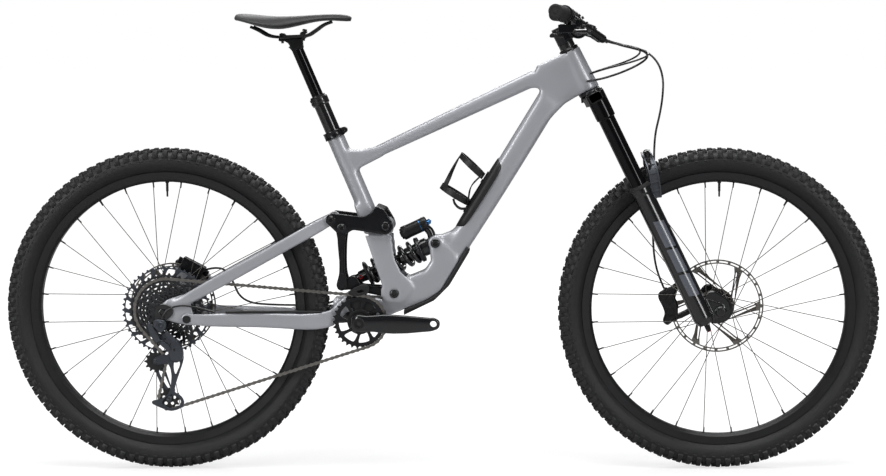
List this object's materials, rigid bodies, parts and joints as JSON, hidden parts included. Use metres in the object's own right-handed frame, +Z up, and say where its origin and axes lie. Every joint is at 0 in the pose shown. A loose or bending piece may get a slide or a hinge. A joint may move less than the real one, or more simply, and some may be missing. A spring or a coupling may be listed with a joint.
{
  "type": "full suspension mountain bike",
  "caption": "Full suspension mountain bike: linked rear end with coil shock, long fork, disc brakes, dropper post, wide bar, single ring drive, no pedals.",
  "frame": {"origin": "on the ground, midway between the wheel axles, in the bike's middle plane", "axes": "+X forward, +Y to the rider's left, +Z up"},
  "size_m": [2.02, 0.8114, 1.0683],
  "materials": {
    "silver_paint": "clear-coated metallic silver",
    "black_anodised": "satin black anodised",
    "black_paint": "gloss black",
    "stanchion_black": "polished black coating",
    "bare_alloy": "machined",
    "steel": "brushed",
    "tyre_rubber": "matte",
    "soft_rubber": "matte",
    "hose_black": "satin",
    "black_plastic": "satin",
    "saddle_leather": "fine grain",
    "spring_paint": "gloss black",
    "blue_anodised": "blue anodised",
    "red_anodised": "red anodised",
    "chain_steel": "oiled"
  },
  "bodies": {
    "frame": {"front_triangle": "silver_paint", "down_tube_guard": "soft_rubber", "bearing_cups": "black_anodised", "frame_bolts": "steel", "seat_collar": "black_anodised", "seatpost_outer": "black_anodised", "chain_guide": "black_plastic"},
    "storage_hatch": {"storage_door": "black_plastic", "bottle_cage": "black_plastic"},
    "saddle_post": {"seatpost_inner": "stanchion_black", "saddle_clamp": "black_anodised", "saddle_cover": "saddle_leather", "saddle_base": "steel"},
    "steering": {"fork_upper": "stanchion_black", "steering_hardware": "steel", "stem": "black_anodised", "handlebar": "black_anodised", "grips": "soft_rubber", "control_clamps": "black_paint", "control_hoses": "hose_black", "front_brake_hose": "hose_black"},
    "left_brake": {"brake_lever_left": "black_anodised"},
    "right_brake": {"brake_lever_right": "black_anodised"},
    "shift_lever": {"shift_paddle": "black_plastic"},
    "dropper_control": {"dropper_lever": "black_anodised"},
    "compression_adjuster": {"compression_dial": "black_anodised"},
    "fork_slider": {"fork_lowers": "black_paint", "front_caliper": "black_anodised"},
    "rebound_adjuster": {"rebound_knob": "red_anodised"},
    "front_wheel": {"front_tyre": "tyre_rubber", "front_rim": "black_anodised", "front_hub": "black_anodised", "front_spokes": "steel", "front_rotor": "steel"},
    "lower_stay": {"chainstay": "silver_paint", "chainstay_guard": "soft_rubber", "chain": "chain_steel"},
    "upper_stay": {"seatstay": "silver_paint", "rear_axle": "steel", "rear_caliper": "black_anodised", "derailleur_knuckle": "black_anodised", "rear_hoses": "hose_black"},
    "rocker": {"rocker_link": "black_anodised"},
    "middle_link": {"drop_link": "black_anodised"},
    "shock_yoke": {"shock_link": "black_anodised"},
    "shock": {"shock_body": "black_anodised", "shock_spring": "spring_paint"},
    "shock_piston": {"shock_shaft": "bare_alloy"},
    "rear_wheel": {"rear_tyre": "tyre_rubber", "rear_rim": "black_anodised", "rear_hub": "black_anodised", "rear_spokes": "steel", "rear_rotor": "steel"},
    "crank": {"crank_arms": "black_anodised", "chainring": "black_anodised"},
    "cassette": {"cassette": "chain_steel"},
    "derailleur": {"derailleur_arm": "black_anodised"},
    "derailleur_swing": {"derailleur_cage": "black_anodised"},
    "guide_wheel": {"guide_pulley": "black_plastic"},
    "tension_wheel": {"tension_pulley": "black_plastic"}
  },
  "joints": [
    {"name": "steer", "type": "hinge", "parent": "frame", "child": "steering", "pos_m": [0.33859, 0, 0.86987], "axis": [-0.4384, 0, 0.8988], "range_deg": [-60, 60], "deforming": ["control_hoses"]},
    {"name": "fork_travel", "type": "slide", "parent": "steering", "child": "fork_slider", "axis": [-0.4384, 0, 0.8988], "range_m": [0, 0.17], "stiffness_N_per_m": 2500, "deforming": ["front_brake_hose"]},
    {"name": "front_wheel_spin", "type": "hinge", "parent": "fork_slider", "child": "front_wheel", "pos_m": [0.637, 0, 0.373], "axis": [0, 1, 0], "continuous": true},
    {"name": "left_brake_pull", "type": "hinge", "parent": "steering", "child": "left_brake", "pos_m": [0.32065, 0.2571, 1.0172], "axis": [0, 0, 1], "range_deg": [0, 18], "stiffness_Nm_per_rad": 0.35, "springref_deg": -6.88},
    {"name": "right_brake_pull", "type": "hinge", "parent": "steering", "child": "right_brake", "pos_m": [0.32065, -0.2571, 1.0172], "axis": [0, 0, -1], "range_deg": [0, 18], "stiffness_Nm_per_rad": 0.35, "springref_deg": -6.88},
    {"name": "shift_push", "type": "hinge", "parent": "steering", "child": "shift_lever", "pos_m": [0.27028, -0.22758, 1.0044], "axis": [0, 0, -1], "range_deg": [0, 25], "stiffness_Nm_per_rad": 0.1, "springref_deg": -5.73},
    {"name": "dropper_push", "type": "hinge", "parent": "steering", "child": "dropper_control", "pos_m": [0.27628, 0.22558, 1.0104], "axis": [0, 0, -1], "range_deg": [0, 22], "stiffness_Nm_per_rad": 0.1, "springref_deg": -5.73},
    {"name": "compression_turn", "type": "hinge", "parent": "steering", "child": "compression_adjuster", "pos_m": [0.34614, -0.072, 0.87355], "axis": [-0.4384, 0, 0.8988], "range_deg": [0, 270]},
    {"name": "rebound_turn", "type": "hinge", "parent": "fork_slider", "child": "rebound_adjuster", "pos_m": [0.61091, -0.072, 0.33068], "axis": [-0.4384, 0, 0.8988], "range_deg": [0, 270]},
    {"name": "saddle_height", "type": "slide", "parent": "frame", "child": "saddle_post", "axis": [-0.3907, 0, 0.9205], "range_m": [-0.12, 0]},
    {"name": "hatch_open", "type": "slide", "parent": "frame", "child": "storage_hatch", "axis": [-0.8487, 0, 0.5288], "range_m": [0, 0.06]},
    {"name": "rear_travel", "type": "hinge", "parent": "frame", "child": "lower_stay", "pos_m": [-0.178, 0, 0.388], "axis": [0, 1, 0], "range_deg": [0, 23], "stiffness_Nm_per_rad": 900, "deforming": ["chain", "rear_hoses"]},
    {"name": "horst_pivot", "type": "hinge", "parent": "lower_stay", "child": "upper_stay", "pos_m": [-0.582, 0, 0.358], "axis": [0, 1, 0], "range_deg": [-12.2, 0]},
    {"name": "rocker_pivot", "type": "hinge", "parent": "frame", "child": "rocker", "pos_m": [-0.1305, 0, 0.567], "axis": [0, 1, 0], "range_deg": [0, 50.9]},
    {"name": "middle_link_pivot", "type": "hinge", "parent": "rocker", "child": "middle_link", "pos_m": [-0.23, 0, 0.564], "axis": [0, 1, 0], "range_deg": [-56, 0]},
    {"name": "yoke_pivot", "type": "hinge", "parent": "frame", "child": "shock_yoke", "pos_m": [-0.112, 0, 0.411], "axis": [0, 1, 0], "range_deg": [0, 43.5]},
    {"name": "shock_pivot", "type": "hinge", "parent": "frame", "child": "shock", "pos_m": [-0.0174, 0, 0.5267], "axis": [0, 1, 0], "range_deg": [0, 14.1]},
    {"name": "shock_stroke", "type": "slide", "parent": "shock", "child": "shock_piston", "axis": [0.9075, 0, 0.4201], "range_m": [0, 0.0599], "deforming": ["shock_spring"]},
    {"name": "rear_wheel_spin", "type": "hinge", "parent": "upper_stay", "child": "rear_wheel", "pos_m": [-0.637, 0, 0.373], "axis": [0, 1, 0], "continuous": true},
    {"name": "crank_spin", "type": "hinge", "parent": "frame", "child": "crank", "pos_m": [-0.19, 0, 0.348], "axis": [0, 1, 0], "continuous": true},
    {"name": "cassette_spin", "type": "hinge", "parent": "upper_stay", "child": "cassette", "pos_m": [-0.637, 0, 0.373], "axis": [0, 1, 0], "continuous": true},
    {"name": "derailleur_shift", "type": "hinge", "parent": "upper_stay", "child": "derailleur", "pos_m": [-0.641, -0.093, 0.346], "axis": [0.9352, 0, 0.3541], "range_deg": [-14, 0], "deforming": ["chain"]},
    {"name": "cage_swing", "type": "hinge", "parent": "derailleur", "child": "derailleur_swing", "pos_m": [-0.613, -0.0415, 0.2713], "axis": [0, 1, 0], "range_deg": [-25, 12], "stiffness_Nm_per_rad": 2},
    {"name": "guide_spin", "type": "hinge", "parent": "derailleur_swing", "child": "guide_wheel", "pos_m": [-0.663, -0.0415, 0.2544], "axis": [0, 1, 0], "continuous": true},
    {"name": "tension_spin", "type": "hinge", "parent": "derailleur_swing", "child": "tension_wheel", "pos_m": [-0.633, -0.0415, 0.167], "axis": [0, 1, 0], "continuous": true}
  ],
  "couplings": [
    {"joint": "horst_pivot", "follows": "rear_travel", "ratio": -0.5279},
    {"joint": "rocker_pivot", "follows": "rear_travel", "ratio": 2.2113},
    {"joint": "middle_link_pivot", "follows": "rear_travel", "ratio": -2.4343},
    {"joint": "yoke_pivot", "follows": "rear_travel", "ratio": 1.8874},
    {"joint": "shock_pivot", "follows": "rear_travel", "ratio": 0.6121},
    {"joint": "shock_stroke", "follows": "rear_travel", "m_per_rad": 0.14907},
    {"joint": "cassette_spin", "follows": "crank_spin", "ratio": 0.83333},
    {"joint": "guide_spin", "follows": "crank_spin", "ratio": -2.5},
    {"joint": "tension_spin", "follows": "crank_spin", "ratio": 2.5}
  ]
}
